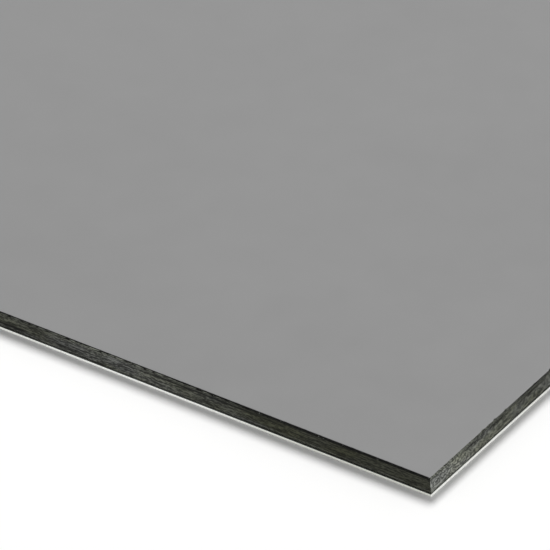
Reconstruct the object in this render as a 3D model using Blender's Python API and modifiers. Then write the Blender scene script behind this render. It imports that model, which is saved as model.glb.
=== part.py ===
"""Aluminium composite panel: a coated aluminium face skin, a polyethylene core and an
aluminium back skin, bonded flat and cut square. It lies on its back skin.

The cut comes from the face side, and the section shows it on all four edges. It turns
the face skin's arris over, pulls the soft core away from both skins, and leans out
through the back skin to a thin lip at the underside.

Metres, +Z up. The origin is under the middle of the panel, on the surface it lies on,
with the length along X and the width along Y.
"""

import bmesh
import bpy
from mathutils import Matrix

# Driving dimensions, metres
PANEL_LENGTH = 0.297
PANEL_WIDTH = 0.210
PANEL_THICKNESS = 0.004
FACE_SKIN_THICKNESS = 0.0005
BACK_SKIN_THICKNESS = 0.0005
# The adhesive film between a skin and the core, left open as a clearance
BOND_LINE = 0.00005
# The round that the cut leaves on the face skin's upper arris
FACE_ARRIS_RADIUS = 0.0001
ARRIS_SEGMENTS = 3
# How far the cut leaves the core behind the face skin's edge
CORE_SETBACK = 0.0001
# The groove that the pulled plastic leaves along each skin, cut at 45 degrees
CORE_GROOVE = 0.0002
# How far the back skin's upper edge stands behind its lower edge
BACK_SKIN_TAPER = 0.0002

# Heights above the surface that the panel lies on
CORE_BOTTOM = BACK_SKIN_THICKNESS + BOND_LINE
FACE_SKIN_BOTTOM = PANEL_THICKNESS - FACE_SKIN_THICKNESS
CORE_THICKNESS = FACE_SKIN_BOTTOM - BOND_LINE - CORE_BOTTOM

UPPER, LOWER = 1, -1
BEVEL_WEIGHT = "bevel_weight_edge"


def make_collection(name):
    collection = bpy.data.collections.new(name)
    bpy.context.scene.collection.children.link(collection)
    return collection


def make_material(name, colour, roughness, metallic):
    material = bpy.data.materials.new(name)
    material.use_nodes = True
    shader = material.node_tree.nodes["Principled BSDF"]
    shader.inputs["Base Color"].default_value = (*colour, 1)
    shader.inputs["Roughness"].default_value = roughness
    shader.inputs["Metallic"].default_value = metallic
    return material


def start_layer(length, width, thickness):
    """A flat box round the origin, whose edges can be weighed for a bevel."""
    layer = bmesh.new()
    layer.edges.layers.float.new(BEVEL_WEIGHT)
    bmesh.ops.create_cube(layer, size=1, matrix=Matrix.Diagonal((length, width, thickness, 1)))
    return layer


def weigh_rim(layer, side):
    """Marks the edges round the upper or the lower face for a bevel."""
    weight = layer.edges.layers.float[BEVEL_WEIGHT]
    for edge in layer.edges:
        if all(vertex.co.z * side > 0 for vertex in edge.verts):
            edge[weight] = 1


def finish_layer(layer, name, thickness, bottom, material, collection):
    """Makes the layer an object, with its underside at the height bottom."""
    mesh = bpy.data.meshes.new(name)
    layer.to_mesh(mesh)
    layer.free()
    mesh.materials.append(material)
    layer_object = bpy.data.objects.new(name, mesh)
    layer_object.location.z = bottom + thickness / 2
    collection.objects.link(layer_object)
    return layer_object


def bevel_weighed_edges(layer_object, name, width, segments):
    bevel = layer_object.modifiers.new(name, "BEVEL")
    bevel.limit_method = "WEIGHT"
    bevel.width = width
    bevel.segments = segments


def make_back_skin(collection):
    """The bare sheet that the panel lies on, with its upper face drawn in by the taper."""
    bare_aluminium = make_material("bare_aluminium", (0.78, 0.78, 0.77), 0.32, 1.0)
    layer = start_layer(PANEL_LENGTH, PANEL_WIDTH, BACK_SKIN_THICKNESS)
    drawn_in = Matrix.Diagonal(
        (
            (PANEL_LENGTH - 2 * BACK_SKIN_TAPER) / PANEL_LENGTH,
            (PANEL_WIDTH - 2 * BACK_SKIN_TAPER) / PANEL_WIDTH,
            1,
            1,
        )
    )
    upper_corners = [vertex for vertex in layer.verts if vertex.co.z > 0]
    bmesh.ops.transform(layer, matrix=drawn_in, verts=upper_corners)
    finish_layer(layer, "back_skin", BACK_SKIN_THICKNESS, 0, bare_aluminium, collection)


def make_core(collection):
    """The black polyethylene between the skins, which shows only at the cut edges."""
    black_polyethylene = make_material("black_polyethylene", (0.042, 0.043, 0.037), 0.6, 0.0)
    length = PANEL_LENGTH - 2 * CORE_SETBACK
    width = PANEL_WIDTH - 2 * CORE_SETBACK
    layer = start_layer(length, width, CORE_THICKNESS)
    weigh_rim(layer, UPPER)
    weigh_rim(layer, LOWER)
    core = finish_layer(layer, "core", CORE_THICKNESS, CORE_BOTTOM, black_polyethylene, collection)
    bevel_weighed_edges(core, "grooves", CORE_GROOVE, 1)


def make_face_skin(collection):
    """The coil-coated sheet on the side that is looked at."""
    grey_coating = make_material("grey_coated_aluminium", (0.26, 0.26, 0.26), 0.45, 0.0)
    layer = start_layer(PANEL_LENGTH, PANEL_WIDTH, FACE_SKIN_THICKNESS)
    weigh_rim(layer, UPPER)
    face_skin = finish_layer(
        layer, "face_skin", FACE_SKIN_THICKNESS, FACE_SKIN_BOTTOM, grey_coating, collection
    )
    bevel_weighed_edges(face_skin, "turned_arris", FACE_ARRIS_RADIUS, ARRIS_SEGMENTS)


def main():
    for scene_object in list(bpy.data.objects):
        bpy.data.objects.remove(scene_object, do_unlink=True)
    panel = make_collection("aluminium_composite_panel")
    make_back_skin(panel)
    make_core(panel)
    make_face_skin(panel)


main()
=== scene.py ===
"""Looks of the aluminium composite panel: the coated face, the cut edges with their dark
plastic core, and the bare aluminium back skin whose cut edge shines.
"""

import math

import bpy
from mathutils import Matrix, Vector, noise


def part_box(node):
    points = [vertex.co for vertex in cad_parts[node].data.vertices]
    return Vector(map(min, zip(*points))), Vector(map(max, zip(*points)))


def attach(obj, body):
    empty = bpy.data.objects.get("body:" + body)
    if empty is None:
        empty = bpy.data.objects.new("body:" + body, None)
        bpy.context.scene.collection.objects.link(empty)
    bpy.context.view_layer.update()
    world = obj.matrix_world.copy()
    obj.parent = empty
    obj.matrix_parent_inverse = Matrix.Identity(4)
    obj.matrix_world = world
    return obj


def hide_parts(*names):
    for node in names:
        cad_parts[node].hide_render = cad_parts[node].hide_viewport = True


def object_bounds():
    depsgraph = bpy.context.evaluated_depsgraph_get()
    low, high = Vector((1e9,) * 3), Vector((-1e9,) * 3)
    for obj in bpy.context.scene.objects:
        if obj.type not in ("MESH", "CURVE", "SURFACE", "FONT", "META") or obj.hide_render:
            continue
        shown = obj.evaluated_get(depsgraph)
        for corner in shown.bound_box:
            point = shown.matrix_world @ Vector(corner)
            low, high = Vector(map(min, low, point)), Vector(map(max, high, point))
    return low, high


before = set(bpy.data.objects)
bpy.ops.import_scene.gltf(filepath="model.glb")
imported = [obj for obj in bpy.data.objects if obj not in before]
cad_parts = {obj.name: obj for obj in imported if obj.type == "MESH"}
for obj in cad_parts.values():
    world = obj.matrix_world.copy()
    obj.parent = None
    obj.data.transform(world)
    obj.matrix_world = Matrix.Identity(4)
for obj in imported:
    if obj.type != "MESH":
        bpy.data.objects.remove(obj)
cad_low, cad_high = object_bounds()

MILLIMETRE = 0.001

# The camera, found from the two edges that meet at the near corner. Pixels are those of
# a picture 550 pixels square.
PICTURE_PIXELS = 550
FOCAL_PIXELS = 5000
CORNER_PIXEL = (430.0, 477.9)
CAMERA_AZIMUTH = math.radians(39.64)
CAMERA_ELEVATION = math.radians(34.89)
CAMERA_ROLL = math.radians(-5.09)
CORNER_DEPTH = 0.818
SENSOR_WIDTH = 36
CLIP_START = 0.01

# The cut edges' section, as the solids have it
FACE_ARRIS = 0.10 * MILLIMETRE
CORE_GROOVE = 0.20 * MILLIMETRE
BACK_TAPER = 0.20 * MILLIMETRE

# How much of the back skin's lip is broken off at its foot, and how far down from its top
# it is smeared with plastic, in the grooves' dark tone, which is partly painted shade
BACK_LIP = 0.03 * MILLIMETRE
BACK_SMEAR = 0.14 * MILLIMETRE

# The meshes: coarse cells over the flat faces, from this margin inwards, with each cell
# split along the edge into this many
CELLS = (27, 19)
FLAT_MARGIN = 0.6 * MILLIMETRE
SKIN_SPLIT = 48
CORE_SPLIT = 22

# Rows up the cut edge of a skin, of the core and of each of its grooves. Then the steps
# round the face skin's arris, how many of them stay bare below the coating, and how far in
# from the edge the coating can chip. The last is the turn between two faces from which on
# their edge is sharp
SKIN_ROWS = 5
CORE_ROWS = 30
GROOVE_ROWS = 3
ARRIS_STEPS = 4
BARE_STEPS = 2
CHIP_REACH = 0.9 * FACE_ARRIS
SHARP_TURN = math.radians(40)

# The slots of a skin's faces, and those of the core's
COAT, CUT, HIDDEN, SMEAR = range(4)
CUT_FACE, GROOVE = range(2)

# The sides, and how rough the cut is on each. It calms down this close to a corner. The
# outline has a point at the last distance on both sides of each corner
FRONT, RIGHT, BACK, LEFT = range(4)
SIDE_ROUGHNESS = (0.35, 1.0, 0.4, 0.8)
CALM_CORNER = 0.6 * MILLIMETRE
CORNER_GAP = 0.03 * MILLIMETRE

# How the cut varies along an edge: the length and the height of a feature, and a seed
FACE_WANDER = (6 * MILLIMETRE, 2 * MILLIMETRE, 3.1)
FACE_GRIT = (0.8 * MILLIMETRE, 1.0 * MILLIMETRE, 7.7)
BACK_WANDER = (5 * MILLIMETRE, 2 * MILLIMETRE, 6.2)
CORE_STREAK = (7 * MILLIMETRE, 0.30 * MILLIMETRE, 1.3)
CORE_SCRATCH = (2.0 * MILLIMETRE, 0.16 * MILLIMETRE, 5.9)
CORE_WAVE = (14 * MILLIMETRE, 1.5 * MILLIMETRE, 9.4)
TORN_DRIFT = (7 * MILLIMETRE, 30 * MILLIMETRE, 3.5)
WEAR_DRIFT = (16 * MILLIMETRE, 3 * MILLIMETRE, 4.2)

# How deep each goes on the roughest side. A nick deepens from nothing to all of its depth
# between the two levels of grit, and past the depth of a chip it takes the coating along
FACE_WANDER_DEPTH = 0.0168 * MILLIMETRE
NICK_DEPTH = 0.07 * MILLIMETRE
NICK_GRIT = (0.15, 0.45)
CHIP_DEPTH = 0.045 * MILLIMETRE
BACK_WANDER_DEPTH = 0.028 * MILLIMETRE
STREAK_DEPTH = 0.02025 * MILLIMETRE
SCRATCH_DEPTH = 0.0225 * MILLIMETRE
WAVE_DEPTH = 0.0135 * MILLIMETRE
TORN_DEPTH = 0.12 * MILLIMETRE

# Where the plastic is torn under the face skin: the middle of the line, below the coated
# face, and half its height. Then the stretches of the front and of the right side where it
# is torn most: the middle of each, from the near corner, and half its length
TORN_LINE = (1.08 * MILLIMETRE, 0.40 * MILLIMETRE)
FRONT_TORN = ((47 * MILLIMETRE, 24 * MILLIMETRE),)
RIGHT_TORN = (
    (12 * MILLIMETRE, 4 * MILLIMETRE),
    (19.5 * MILLIMETRE, 4 * MILLIMETRE),
    (29 * MILLIMETRE, 6 * MILLIMETRE),
)

# How torn that line is: everywhere, how much it drifts, and how much the stretches add
FRONT_TEAR = (-0.05, 1.3, 1.2)
RIGHT_TEAR = (0.10, 0.6, 1.0)
OTHER_TEAR = (0.45, 1.3, 0)

# The gouges in the front side: the two ends of each, from the near corner, and how strong it
# is. Each runs out over this length at both ends. Then the height of their middle above the
# floor, and half of their own height
GOUGES = ((85 * MILLIMETRE, 98 * MILLIMETRE, 1.0), (72 * MILLIMETRE, 80 * MILLIMETRE, 0.6))
GOUGE_RUN_OUT = 1.5 * MILLIMETRE
GOUGE_LINE = (1.44 * MILLIMETRE, 0.46 * MILLIMETRE)

# How scraped the cut is, from 0 where it is smooth and dark to 1 where it is pale, by its
# distance in millimetres from the near corner, and the share by which it drifts
FRONT_WEAR = ((20, 0.03), (35, 0.13), (52, 0.49), (70, 0.68), (82, 0.30))
RIGHT_WEAR = ((6, 0.90), (13, 0.56), (20, 0.37), (28, 0.30))
OTHER_WEAR = 0.15
WEAR_SWING = 0.25

# The shares of the wear at the top and at the foot of the cut. The one turns into the other
# over this band below the coated face, and the near shares turn into the far ones along the
# stretch of the front that comes last
UPPER_BAND = (0.4 * MILLIMETRE, 2.4 * MILLIMETRE)
NEAR_SHARES = (0.6, 1)
FAR_SHARES = (1.25, 0.75)
RIGHT_SHARES = (0.74, 1)
FRONT_FAR = (20 * MILLIMETRE, 66 * MILLIMETRE)

# The long sides are streaked. The short ones are grained, from this share at their front
# end to wholly past this stretch
CORNER_GRAIN = 0.5
GRAIN_RISE = (3 * MILLIMETRE, 11 * MILLIMETRE)

# The painted shade line under the coated face's overhanging arris: how thick it is at the near
# corner, and far from it.
# The hidden sides have one this far between the two. The right side has the far one, from
# this distance on
ARRIS_SHADE_LINE = (0.42 * MILLIMETRE, 0.22 * MILLIMETRE)
OTHER_AWAY = 0.5
RIGHT_SHADE_START = 26 * MILLIMETRE

# The pale line that the cutter drew along the foot of the plastic: the height of its middle
# above the floor, half its own height, and how much more it is scraped
PALE_LINE = (1.03 * MILLIMETRE, 0.30 * MILLIMETRE)
PALE_SCRAPED = 0.20

# Plain tones within the materials, and how fast a tint follows the wear
CUT_TINT = (0.95, 1.0, 0.84, 1)
BARE_METAL = (0.42, 0.42, 0.39, 1)
PIT_BLACK = (0.012, 0.012, 0.012, 1)
FLECK_GREY = (0.32, 0.32, 0.32, 1)
# TORN_SHADE is painted shade, black laid into the tears and gouges
TORN_SHADE = (0.009, 0.009, 0.009, 1)
TINT_GAIN = 3.0

# The floor, a hair below the panel
FLOOR_SIZE = 30
FLOOR_GAP = 0.02 * MILLIMETRE
FLOOR_WHITE = (0.985, 0.985, 0.98, 1)

# Light, where 1 makes a colour render as it is written
WORLD_LIGHT = 0.35
SOFTBOX_LIGHT = 0.835
SOFTBOX_DISTANCE = 2.43
SOFTBOX_SIZE = (1.05, 1.30)
SOFTBOX_DIRECTION = (-0.272, 0.430, 1.0)
FILL_LIGHT = 0.40
FILL_DISTANCE = 1.4
FILL_SIZE = (0.60, 0.14)
FILL_DIRECTION = (1.0, -0.10, 0.055)


def between(first, second, share):
    """The value that lies at that share of the way from first to second."""
    return first + (second - first) * share


def smooth_share(value, start, end):
    """Rises softly from 0 at start to 1 at end."""
    share = min(max((value - start) / (end - start), 0), 1)
    return share * share * (3 - 2 * share)


def band_share(value, middle, half):
    """1 in the middle of a band and 0 at its borders."""
    return smooth_share(half - abs(value - middle), 0, half)


def stretched(place, along, across, seed):
    """Noise from -1 to 1 whose features are that long along the edges and that high."""
    x, y, z = place
    return noise.noise(Vector((x / along + seed, y / along - seed, z / across + seed)))


def swell(place, *feature):
    """The same noise from 0 to 1."""
    return 0.5 + 0.5 * stretched(place, *feature)


class EdgePoint:
    """A point of a layer's outline: where it is, its side, the way out from it, and how
    rough the cut is there."""

    def __init__(self, place, side, out, rough):
        self.place = place
        self.side = side
        self.out = out
        self.rough = rough

    def at(self, height):
        return Vector((self.place.x, self.place.y, height))


def outline_of(low, high, split):
    """Points round a rectangle, counter-clockwise from its front left corner."""
    corners = [(low.x, low.y), (high.x, low.y), (high.x, high.y), (low.x, high.y)]
    ways_out = [Vector((0, -1)), Vector((1, 0)), Vector((0, 1)), Vector((-1, 0))]
    points = []
    for side in (FRONT, RIGHT, BACK, LEFT):
        start, end = Vector(corners[side]), Vector(corners[(side + 1) % 4])
        length = (end - start).length
        count = CELLS[side % 2] * split
        shares = [i / count for i in range(1, count)]
        beside = CORNER_GAP / length
        for share in [0, beside, *shares, 1 - beside]:
            out = ways_out[side] + ways_out[side - 1] if share == 0 else ways_out[side]
            calm = min(share, 1 - share) * length
            rough = SIDE_ROUGHNESS[side] * smooth_share(calm, 0, CALM_CORNER)
            points.append(EdgePoint(start.lerp(end, share), side, out, rough))
    return points


def gouge_share(place):
    """How far into one of the gouges that place is."""
    if place.y > cad_low.y + FLAT_MARGIN:
        return 0
    away = cad_high.x - place.x
    deepest = 0
    for start, end, strength in GOUGES:
        inside = min(away - start, end - away)
        deepest = max(deepest, strength * smooth_share(inside, 0, GOUGE_RUN_OUT))
    return deepest * band_share(place.z, *GOUGE_LINE)


def torn_share(place):
    """How torn the plastic is, in stretches along one line and in the gouges. The same share
    lays painted shade into these recesses.
    """
    if place.y < cad_low.y + FLAT_MARGIN:
        distance, stretches, tear = cad_high.x - place.x, FRONT_TORN, FRONT_TEAR
    elif place.x > cad_high.x - FLAT_MARGIN:
        distance, stretches, tear = place.y - cad_low.y, RIGHT_TORN, RIGHT_TEAR
    else:
        distance, stretches, tear = 0, (), OTHER_TEAR
    everywhere, swing, gain = tear
    amount = everywhere + swing * stretched(place, *TORN_DRIFT)
    for middle, half in stretches:
        amount += gain * band_share(distance, middle, half)
    line = band_share(cad_high.z - place.z, *TORN_LINE)
    return max(min(max(amount, 0), 1) * line, gouge_share(place))


def wear_along(distance, stations):
    """The wear at that distance, joined straight from one station to the next."""
    reach = distance / MILLIMETRE
    start, before = stations[0]
    if reach <= start:
        return before
    for end, after in stations[1:]:
        if reach < end:
            return between(before, after, (reach - start) / (end - start))
        start, before = end, after
    return before


def scraped_or_arris_shaded_at(point, height, low, high):
    """How scraped the cut is at that height. Just under the coated face's arris it is left at
    0, its darkest tone, as painted shade.
    """
    below = cad_high.z - height
    lower = smooth_share(below, *UPPER_BAND)
    wear, away, arris_shaded = OTHER_WEAR, OTHER_AWAY, True
    share = between(*NEAR_SHARES, lower)
    if point.side == FRONT:
        distance = high.x - point.place.x
        wear = wear_along(distance, FRONT_WEAR)
        away = smooth_share(distance, *FRONT_FAR)
        share = between(share, between(*FAR_SHARES, lower), away)
    elif point.side == RIGHT:
        distance = point.place.y - low.y
        wear = wear_along(distance, RIGHT_WEAR)
        away = 1
        arris_shaded = distance > RIGHT_SHADE_START
        share = between(*RIGHT_SHARES, lower)
    # Painted shade: right under the arris the cut is left unscraped and darkest, as the
    # overhang's shadow
    if arris_shaded and below < between(*ARRIS_SHADE_LINE, away):
        return 0
    drift = WEAR_SWING * stretched(point.at(height), *WEAR_DRIFT)
    return wear * (1 + drift) * share + PALE_SCRAPED * band_share(height, *PALE_LINE)


def grained_at(point, low):
    """How grained the cut is there, rather than streaked lengthwise."""
    if point.side in (FRONT, BACK):
        return 0
    return between(CORNER_GRAIN, 1, smooth_share(point.place.y - low.y, *GRAIN_RISE))


def face_skin_bite(place):
    """The cut's line along the face skin: it wanders a little, with small nicks."""
    nick = smooth_share(stretched(place, *FACE_GRIT), *NICK_GRIT)
    return FACE_WANDER_DEPTH * swell(place, *FACE_WANDER) + NICK_DEPTH * nick


def back_skin_bite(place):
    """The cut's line along the back skin, which is straighter."""
    return BACK_WANDER_DEPTH * swell(place, *BACK_WANDER)


def core_bite(place):
    """Streaks drawn along the plastic, with finer scratches, over slow waves and tears."""
    streaks = STREAK_DEPTH * swell(place, *CORE_STREAK)
    scratches = SCRATCH_DEPTH * max(0, stretched(place, *CORE_SCRATCH))
    waves = WAVE_DEPTH * swell(place, *CORE_WAVE)
    return streaks + scratches + waves + TORN_DEPTH * torn_share(place)


def close_ring(vertices, faces, ring, low, high, upward):
    """Closes a ring of vertices with a coarse grid, joined to the ring by fans, and says
    how many faces that took."""
    columns, rows = CELLS
    cell = Vector(((high.x - low.x) / columns, (high.y - low.y) / rows))
    height = vertices[ring[0]][2]
    first = len(vertices)
    for j in range(1, rows):
        for i in range(1, columns):
            vertices.append((low.x + cell.x * i, low.y + cell.y * j, height))

    def knot(i, j):
        return first + (j - 1) * (columns - 1) + i - 1

    def nearest_knot(index):
        x, y, _ = vertices[index]
        i = min(max(round((x - low.x) / cell.x), 1), columns - 1)
        j = min(max(round((y - low.y) / cell.y), 1), rows - 1)
        return knot(i, j)

    made = []
    for j in range(1, rows - 1):
        for i in range(1, columns - 1):
            made.append((knot(i, j), knot(i + 1, j), knot(i + 1, j + 1), knot(i, j + 1)))
    for here, following in zip(ring, ring[1:] + ring[:1]):
        tip, next_tip = nearest_knot(here), nearest_knot(following)
        made.append((here, following, tip))
        if next_tip != tip:
            made.append((following, next_tip, tip))
    faces += made if upward else [tuple(reversed(face)) for face in made]
    return len(made)


def wall_faces(profile, cuts, coated):
    """The faces from each row of the profile to the next, and their slots. A coated arris
    that is bitten deeper than CHIP_DEPTH has lost its coating."""
    count = len(cuts) // len(profile)
    faces, slots = [], []
    for row, (inset, _, slot) in enumerate(profile[:-1]):
        low_row, high_row = row * count, (row + 1) * count
        can_chip = coated and slot == COAT and inset < CHIP_REACH
        for i in range(count):
            j = (i + 1) % count
            faces.append((low_row + i, low_row + j, high_row + j, high_row + i))
            chipped = can_chip and cuts[low_row + i] > CHIP_DEPTH
            slots.append(CUT if chipped else slot)
    return faces, slots


def mark_points(mesh, name, values, flat):
    """Writes a value for each point. The points of the flat faces, which come last, share
    one."""
    values = values + [flat] * (len(mesh.vertices) - len(values))
    mesh.attributes.new(name, "FLOAT", "POINT").data.foreach_set("value", values)


def layer_mesh(name, box, split, profile, bite, coated=False):
    """A closed layer whose edge follows profile, [(inset, height, slot)], from under to top.

    The slot is that of the faces from one row to the next. bite(place) is how far the cut
    went in there.
    """
    low, high = box
    middle = ((low + high) / 2).to_2d()
    half = ((high - low) / 2).to_2d()
    outline = outline_of(low, high, split)
    vertices, cuts, scraped, torn_shade, grained = [], [], [], [], []
    for inset, height, _ in profile:
        shrink = Vector((1 - inset / half.x, 1 - inset / half.y))
        for point in outline:
            spot = point.at(height)
            cut = point.rough * bite(spot) if inset < FLAT_MARGIN else 0
            place = middle + (point.place - middle) * shrink - point.out * cut
            vertices.append((place.x, place.y, height))
            cuts.append(cut)
            # The scraped share is 0 in the painted shade line under the arris
            scraped.append(scraped_or_arris_shaded_at(point, height, low, high))
            torn_shade.append(torn_share(spot))
            grained.append(grained_at(point, low))
    faces, slots = wall_faces(profile, cuts, coated)
    under_ring = list(range(len(outline)))
    top_ring = list(range(len(vertices) - len(outline), len(vertices)))
    slots += [profile[0][2]] * close_ring(vertices, faces, under_ring, low, high, False)
    slots += [profile[-1][2]] * close_ring(vertices, faces, top_ring, low, high, True)
    mesh = bpy.data.meshes.new(name)
    mesh.from_pydata(vertices, [], faces)
    mesh.polygons.foreach_set("material_index", slots)
    mesh.polygons.foreach_set("use_smooth", [True] * len(faces))
    mark_points(mesh, "scraped", scraped, OTHER_WEAR)
    mark_points(mesh, "torn_shade", torn_shade, 0)
    mark_points(mesh, "grained", grained, 0)
    mesh.set_sharp_from_angle(angle=SHARP_TURN)
    mesh.update()
    piece = bpy.data.objects.new(name, mesh)
    bpy.context.scene.collection.objects.link(piece)
    return piece


def straight_rows(start, end, count, slot):
    """Rows from one (inset, height) towards another, which is left out."""
    rows = []
    for k in range(count):
        inset = between(start[0], end[0], k / count)
        height = between(start[1], end[1], k / count)
        rows.append((inset, height, slot))
    return rows


def turned_rows(radius, shoulder):
    """Rows of the quarter round from the cut side at shoulder to the face, whose lowest
    steps are bare."""
    rows = []
    for k in range(ARRIS_STEPS + 1):
        turn = math.pi / 2 * k / ARRIS_STEPS
        slot = CUT if k < BARE_STEPS else COAT
        rows.append((radius * (1 - math.cos(turn)), shoulder + radius * math.sin(turn), slot))
    return rows


def make_face_skin():
    """The coated skin, whose upper arris is turned over."""
    low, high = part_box("face_skin")
    shoulder = high.z - FACE_ARRIS
    profile = [(FLAT_MARGIN, low.z, HIDDEN)]
    profile += straight_rows((0, low.z), (0, shoulder), SKIN_ROWS, CUT)
    profile += turned_rows(FACE_ARRIS, shoulder)
    profile += [(FLAT_MARGIN, high.z, COAT)]
    box = (low, high)
    return layer_mesh("coated_face_skin", box, SKIN_SPLIT, profile, face_skin_bite, coated=True)


def make_back_skin():
    """The bare skin, whose cut leans out to a lip at the underside."""
    low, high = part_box("back_skin")
    smear_height = high.z - BACK_SMEAR
    smear_inset = BACK_TAPER * (smear_height - low.z) / (high.z - low.z)
    profile = [(FLAT_MARGIN, low.z, HIDDEN), (BACK_LIP, low.z, CUT)]
    profile += straight_rows((0, low.z + BACK_LIP), (smear_inset, smear_height), SKIN_ROWS, CUT)
    profile += [(smear_inset, smear_height, SMEAR), (BACK_TAPER, high.z, HIDDEN)]
    profile += [(FLAT_MARGIN, high.z, HIDDEN)]
    return layer_mesh("bare_back_skin", (low, high), SKIN_SPLIT, profile, back_skin_bite)


def make_core():
    """The plastic, drawn back from both skins by a groove."""
    low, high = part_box("core")
    bottom, top = low.z + CORE_GROOVE, high.z - CORE_GROOVE
    profile = [(FLAT_MARGIN, low.z, GROOVE)]
    profile += straight_rows((CORE_GROOVE, low.z), (0, bottom), GROOVE_ROWS, GROOVE)
    profile += straight_rows((0, bottom), (0, top), CORE_ROWS, CUT_FACE)
    profile += straight_rows((0, top), (CORE_GROOVE, high.z), GROOVE_ROWS, GROOVE)
    profile += [(CORE_GROOVE, high.z, GROOVE), (FLAT_MARGIN, high.z, GROOVE)]
    return layer_mesh("cut_core", (low, high), CORE_SPLIT, profile, core_bite)


class Shader:
    """A material's node tree, with short calls for the nodes that this scene uses."""

    def __init__(self, name):
        self.material = bpy.data.materials.new(name)
        self.material.use_nodes = True
        self.tree = self.material.node_tree
        self.surface = self.tree.nodes["Principled BSDF"]
        self.place = self.node("ShaderNodeTexCoord").outputs["Object"]

    def node(self, kind, **settings):
        made = self.tree.nodes.new(kind)
        for name, value in settings.items():
            setattr(made, name, value)
        return made

    def join(self, value, socket):
        """Links an output to the socket, or writes a plain value on it."""
        if isinstance(value, bpy.types.NodeSocket):
            self.tree.links.new(value, socket)
        else:
            socket.default_value = value

    def scaled(self, scale):
        """The place in metres times the scale on each axis."""
        mapping = self.node("ShaderNodeMapping")
        self.join(self.place, mapping.inputs["Vector"])
        mapping.inputs["Scale"].default_value = scale
        return mapping.outputs["Vector"]

    def noise(self, scale, detail=2.0, roughness=0.5):
        """Noise from 0 to 1, with scale as features for each metre on X, Y and Z."""
        made = self.node("ShaderNodeTexNoise")
        self.join(self.scaled(scale), made.inputs["Vector"])
        made.inputs["Scale"].default_value = 1
        made.inputs["Detail"].default_value = detail
        made.inputs["Roughness"].default_value = roughness
        return made.outputs["Fac"]

    def fibres(self, scale):
        """Drawn-out cells, each of one tone, with scale as cells for each metre on X, Y
        and Z."""
        made = self.node("ShaderNodeTexVoronoi")
        self.join(self.scaled(scale), made.inputs["Vector"])
        made.inputs["Scale"].default_value = 1
        return made.outputs["Color"]

    def ramp(self, value, stops):
        """Colours by value: stops is [(place, (red, green, blue))]."""
        made = self.node("ShaderNodeValToRGB")
        self.join(value, made.inputs["Fac"])
        elements = made.color_ramp.elements
        while len(elements) < len(stops):
            elements.new(0.5)
        for element, (place, colour) in zip(elements, stops):
            element.position = place
            element.color = (*colour, 1)
        return made.outputs["Color"]

    def grey_ramp(self, value, stops):
        return self.ramp(value, [(place, (grey, grey, grey)) for place, grey in stops])

    def attribute(self, name):
        return self.node("ShaderNodeAttribute", attribute_name=name).outputs["Fac"]

    def product(self, first, second, clamp=False):
        """Two numbers multiplied, and kept from 0 to 1 where clamp says so."""
        made = self.node("ShaderNodeMath", operation="MULTIPLY", use_clamp=clamp)
        self.join(first, made.inputs[0])
        self.join(second, made.inputs[1])
        return made.outputs["Value"]

    def mix(self, factor, first, second, blend="MIX"):
        made = self.node("ShaderNodeMix", data_type="RGBA", blend_type=blend)
        self.join(factor, made.inputs["Factor"])
        self.join(first, made.inputs["A"])
        self.join(second, made.inputs["B"])
        return made.outputs["Result"]

    def tinted(self, colour, tint):
        return self.mix(1.0, colour, tint, "MULTIPLY")

    def bump(self, height, distance, strength):
        made = self.node("ShaderNodeBump")
        self.join(height, made.inputs["Height"])
        made.inputs["Distance"].default_value = distance
        made.inputs["Strength"].default_value = strength
        self.join(made.outputs["Normal"], self.surface.inputs["Normal"])

    def finish(self, colour, roughness, metallic, specular=0.5):
        self.join(colour, self.surface.inputs["Base Color"])
        self.join(roughness, self.surface.inputs["Roughness"])
        self.surface.inputs["Metallic"].default_value = metallic
        self.surface.inputs["Specular IOR Level"].default_value = specular
        return self.material


def grey_coating():
    """Satin coil coating: fine flake, a faint orange peel and slow drifts of tone."""
    shader = Shader("grey_coating")
    flake = shader.noise((9000, 9000, 9000), detail=1.0)
    drift = shader.noise((18, 18, 18))
    fine = shader.grey_ramp(flake, [(0.3, 0.2285), (0.7, 0.2485)])
    slow = shader.grey_ramp(drift, [(0.3, 0.985), (0.7, 1.015)])
    roughness = shader.grey_ramp(shader.noise((140, 140, 140)), [(0.3, 0.56), (0.7, 0.62)])
    shader.bump(shader.noise((700, 700, 700), detail=1.0), 0.004 * MILLIMETRE, 0.6)
    return shader.finish(shader.tinted(fine, slow), roughness, 0.0, 0.2)


def smeared_cut_with_shade():
    """The face skin's cut edge: plastic dragged over the metal, with a few bare specks. Where
    it is unscraped under the arris, its near-black tone is painted shade.
    """
    shader = Shader("smeared_cut_edge_with_arris_shade")
    streaks = shader.noise((700, 2600, 3600), detail=1.0, roughness=0.6)
    # shade_dark is painted shade under the arris; dragged is the smeared plastic
    shade_dark = shader.grey_ramp(streaks, [(0.40, 0.002), (0.60, 0.009)])
    dragged = shader.grey_ramp(streaks, [(0.42, 0.010), (0.58, 0.350)])
    smear = shader.mix(shader.attribute("scraped"), shade_dark, dragged)
    specks = shader.noise((1500, 1500, 4200), detail=3.0, roughness=0.7)
    bare = shader.grey_ramp(specks, [(0.64, 0.0), (0.74, 0.8)])
    colour = shader.mix(bare, shader.tinted(smear, CUT_TINT), BARE_METAL)
    shader.bump(streaks, 0.02 * MILLIMETRE, 0.6)
    return shader.finish(colour, 0.6, 0.0, 0.06)


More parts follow.
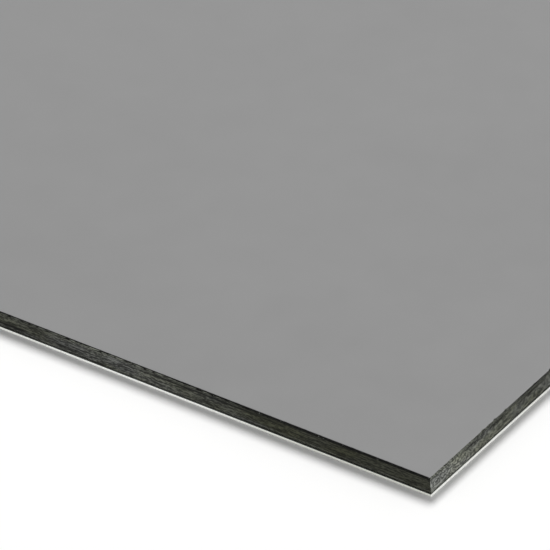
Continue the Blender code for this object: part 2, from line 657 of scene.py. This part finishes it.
def cut_plastic():
    """Black polyethylene as the cutter left it: dark where it is smooth, greyer where it is
    scraped, painted black as shade where it is torn, and streaked lengthwise or grained."""
    shader = Shader("cut_polyethylene")
    worn = shader.attribute("scraped")
    streaks = shader.noise((210, 600, 3900), detail=1.0, roughness=0.6)
    scratches = shader.noise((1300, 2600, 4700), detail=1.0, roughness=0.6)
    grain = shader.noise((1700, 3200, 5200), detail=1.0, roughness=0.6)
    streaked = shader.mix(0.5, streaks, scratches)
    grained = shader.mix(0.58, grain, shader.fibres((2800, 3200, 5400)))
    marks = shader.mix(shader.attribute("grained"), streaked, grained)
    smooth = shader.grey_ramp(marks, [(0.42, 0.016), (0.58, 0.064)])
    scraped = shader.grey_ramp(marks, [(0.425, 0.055), (0.50, 0.130), (0.575, 0.335)])
    even = shader.mix(worn, smooth, scraped)
    pits = shader.grey_ramp(shader.noise((200, 2600, 4600)), [(0.58, 0.0), (0.68, 0.7)])
    pitted = shader.mix(pits, even, PIT_BLACK)
    flecks = shader.grey_ramp(shader.noise((900, 2600, 4800)), [(0.68, 0.0), (0.78, 1.0)])
    flecked = shader.mix(shader.product(worn, flecks), pitted, FLECK_GREY)
    # Painted shade: the tears and gouges are blackened
    tone = shader.mix(shader.attribute("torn_shade"), flecked, TORN_SHADE)
    tints = shader.noise((110, 110, 300), detail=1.0)
    greener = shader.ramp(tints, [(0.40, (0.96, 1.0, 0.61)), (0.60, (0.96, 1.0, 0.71))])
    greyer = shader.ramp(tints, [(0.40, (0.96, 1.0, 0.79)), (0.60, (0.97, 1.0, 0.93))])
    tint = shader.mix(shader.product(worn, TINT_GAIN, clamp=True), greener, greyer)
    roughness = shader.grey_ramp(marks, [(0.38, 0.52), (0.62, 0.68)])
    shader.bump(streaked, 0.03 * MILLIMETRE, 0.8)
    return shader.finish(shader.tinted(tone, tint), roughness, 0.0, 0.10)


def groove_plastic_and_shade():
    """Strands of polyethylene, pulled away along a skin, in the grooves: dark, partly as
    painted shade in the groove's recess, and greyer where scraped.
    """
    shader = Shader("groove_polyethylene_and_shade")
    strands = shader.noise((1600, 1600, 4000))
    shade_dark = shader.ramp(strands, [(0.4, (0.010, 0.011, 0.008)), (0.6, (0.024, 0.025, 0.020))])
    worn = shader.ramp(strands, [(0.4, (0.036, 0.038, 0.031)), (0.6, (0.190, 0.200, 0.170))])
    colour = shader.mix(shader.attribute("scraped"), shade_dark, worn)
    shader.bump(strands, 0.02 * MILLIMETRE, 0.7)
    return shader.finish(colour, 0.75, 0.0, 0.15)


def bright_cut():
    """Cut aluminium with fine marks across the sheet, brightest where it is scraped."""
    shader = Shader("bright_cut_edge")
    marks = shader.noise((2600, 2600, 700), detail=3.0, roughness=0.6)
    dull = shader.ramp(marks, [(0.3, (0.54, 0.55, 0.50)), (0.6, (0.66, 0.67, 0.62))])
    fresh = shader.ramp(marks, [(0.3, (0.78, 0.79, 0.76)), (0.6, (0.92, 0.93, 0.90))])
    worn = shader.product(shader.attribute("scraped"), TINT_GAIN, clamp=True)
    roughness = shader.grey_ramp(marks, [(0.3, 0.34), (0.7, 0.48)])
    shader.bump(marks, 0.006 * MILLIMETRE, 0.7)
    return shader.finish(shader.mix(worn, dull, fresh), roughness, 1.0)


def mill_finish():
    """Rolled aluminium: fine grain along the panel's length and a soft sheen."""
    shader = Shader("mill_finish_aluminium")
    grain = shader.noise((60, 4200, 60), detail=4.0, roughness=0.6)
    fine = shader.grey_ramp(grain, [(0.3, 0.68), (0.7, 0.80)])
    slow = shader.grey_ramp(shader.noise((22, 22, 22)), [(0.3, 0.95), (0.7, 1.0)])
    roughness = shader.grey_ramp(grain, [(0.3, 0.30), (0.7, 0.42)])
    shader.bump(grain, 0.004 * MILLIMETRE, 0.5)
    return shader.finish(shader.tinted(fine, slow), roughness, 1.0)


def dress(piece, node, materials):
    """Gives the piece its materials, in the order of its slots, and its place in the part."""
    for material in materials:
        piece.data.materials.append(material)
    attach(piece, "root")
    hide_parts(node)


def make_floor():
    """A white floor, far larger than the panel."""
    half = FLOOR_SIZE / 2
    corners = [(-half, -half, 0), (half, -half, 0), (half, half, 0), (-half, half, 0)]
    mesh = bpy.data.meshes.new("floor")
    mesh.from_pydata(corners, [], [(0, 1, 2, 3)])
    mesh.materials.append(Shader("floor_white").finish(FLOOR_WHITE, 0.9, 0.0, 0.0))
    floor = bpy.data.objects.new("floor", mesh)
    floor.location.z = -FLOOR_GAP
    bpy.context.scene.collection.objects.link(floor)


def camera_axes():
    """The camera's right, up and forward."""
    east, north = math.cos(CAMERA_AZIMUTH), math.sin(CAMERA_AZIMUTH)
    level = math.cos(CAMERA_ELEVATION)
    forward = Vector((-north * level, east * level, -math.sin(CAMERA_ELEVATION)))
    right = Vector((east, north, 0))
    up = right.cross(forward)
    turn, tilt = math.cos(CAMERA_ROLL), math.sin(CAMERA_ROLL)
    return right * turn + up * tilt, up * turn - right * tilt, forward


def make_camera(corner):
    """Puts the panel's near corner at its pixel."""
    right, up, forward = camera_axes()
    metres_a_pixel = CORNER_DEPTH / FOCAL_PIXELS
    across = (CORNER_PIXEL[0] - PICTURE_PIXELS / 2) * metres_a_pixel
    above = (PICTURE_PIXELS / 2 - CORNER_PIXEL[1]) * metres_a_pixel
    place = corner - forward * CORNER_DEPTH - right * across - up * above
    data = bpy.data.cameras.new("camera")
    data.sensor_width = SENSOR_WIDTH
    data.lens = SENSOR_WIDTH * FOCAL_PIXELS / PICTURE_PIXELS
    data.clip_start = CLIP_START
    camera = bpy.data.objects.new("camera", data)
    turned = Matrix((right, up, -forward)).transposed()
    camera.matrix_world = Matrix.Translation(place) @ turned.to_4x4()
    bpy.context.scene.collection.objects.link(camera)
    bpy.context.scene.camera = camera


def add_softbox(name, direction, distance, size, light):
    """An oval lamp size[0] wide and size[1] high, whose width lies level along the panel
    as far as it can. It gives a face square to it that much light."""
    data = bpy.data.lights.new(name, "AREA")
    data.shape = "ELLIPSE"
    data.size, data.size_y = size
    data.energy = light * math.pi**2 * distance**2
    lamp = bpy.data.objects.new(name, data)
    wide = Vector((0, 1, 0)).cross(direction).normalized()
    high = direction.cross(wide)
    turned = Matrix((wide, high, direction)).transposed()
    lamp.matrix_world = Matrix.Translation(direction * distance) @ turned.to_4x4()
    lamp.visible_camera = False
    bpy.context.scene.collection.objects.link(lamp)


def light_lamps():
    """A large soft lamp overhead and behind, and a low strip that lights the right side."""
    overhead = Vector(SOFTBOX_DIRECTION).normalized()
    add_softbox("overhead_softbox", overhead, SOFTBOX_DISTANCE, SOFTBOX_SIZE, SOFTBOX_LIGHT)
    right_side = Vector(FILL_DIRECTION).normalized()
    add_softbox("side_fill", right_side, FILL_DISTANCE, FILL_SIZE, FILL_LIGHT)


def light_world():
    """A white studio that is seen at full strength, in reflections too, and lights the
    panel more weakly."""
    world = bpy.data.worlds.new("studio")
    bpy.context.scene.world = world
    world.use_nodes = True
    tree = world.node_tree
    background = tree.nodes["Background"]
    background.inputs["Color"].default_value = (1, 1, 1, 1)
    rays = tree.nodes.new("ShaderNodeLightPath")
    seen = rays.outputs["Is Camera Ray"]
    for kind in ("Is Glossy Ray", "Is Transmission Ray"):
        either = tree.nodes.new("ShaderNodeMath")
        either.operation = "MAXIMUM"
        tree.links.new(seen, either.inputs[0])
        tree.links.new(rays.outputs[kind], either.inputs[1])
        seen = either.outputs["Value"]
    strength = tree.nodes.new("ShaderNodeMapRange")
    tree.links.new(seen, strength.inputs["Value"])
    strength.inputs["To Min"].default_value = WORLD_LIGHT
    strength.inputs["To Max"].default_value = 1
    tree.links.new(strength.outputs["Result"], background.inputs["Strength"])


near_corner = Vector((cad_high.x, cad_low.y, cad_high.z))
make_camera(near_corner)
light_lamps()
light_world()
make_floor()

rolled = mill_finish()
# The grooves' plastic, darkened with painted shade; the back skin's smear band wears it too
groove_and_shade = groove_plastic_and_shade()
face_looks = [grey_coating(), smeared_cut_with_shade(), rolled]
dress(make_face_skin(), "face_skin", face_looks)
dress(make_core(), "core", [cut_plastic(), groove_and_shade])
dress(make_back_skin(), "back_skin", [rolled, bright_cut(), rolled, groove_and_shade])

bpy.context.scene.view_settings.view_transform = "Standard"
